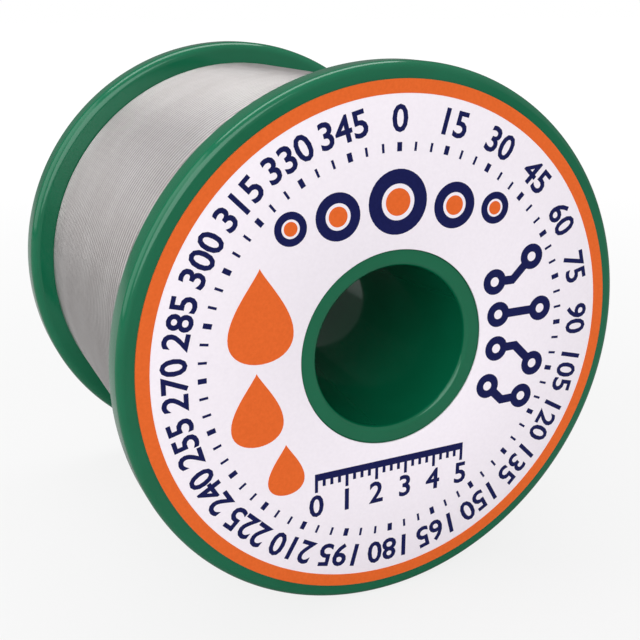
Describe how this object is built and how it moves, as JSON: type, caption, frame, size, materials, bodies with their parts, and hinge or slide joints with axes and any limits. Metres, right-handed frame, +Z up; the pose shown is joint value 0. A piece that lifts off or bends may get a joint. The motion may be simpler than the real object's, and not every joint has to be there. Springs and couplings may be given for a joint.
{
  "type": "solder wire spool",
  "caption": "Flanged plastic reel wound full of fine solder wire, with a spindle bore and a printed disc label on each end.",
  "frame": {"origin": "centre of the spindle bore, midway between the two flanges", "axes": "+Y along the spindle bore from the labelled front to the rear, +Z up as the reel stands on its two rims"},
  "size_m": [0.065, 0.0554, 0.065],
  "materials": {
    "reel_plastic": "moulded green, glossy",
    "solder_wire": "drawn tin alloy, satin",
    "label": "coated white label stock with a printed border"
  },
  "bodies": {
    "root": {"front_flange": "reel_plastic", "rear_flange": "reel_plastic", "bore_tube": "reel_plastic", "barrel_tube": "reel_plastic", "inner_winding": "solder_wire", "outer_winding": "solder_wire", "wire_anchor": "solder_wire", "front_label": "label", "rear_label": "label"}
  },
  "joints": []
}
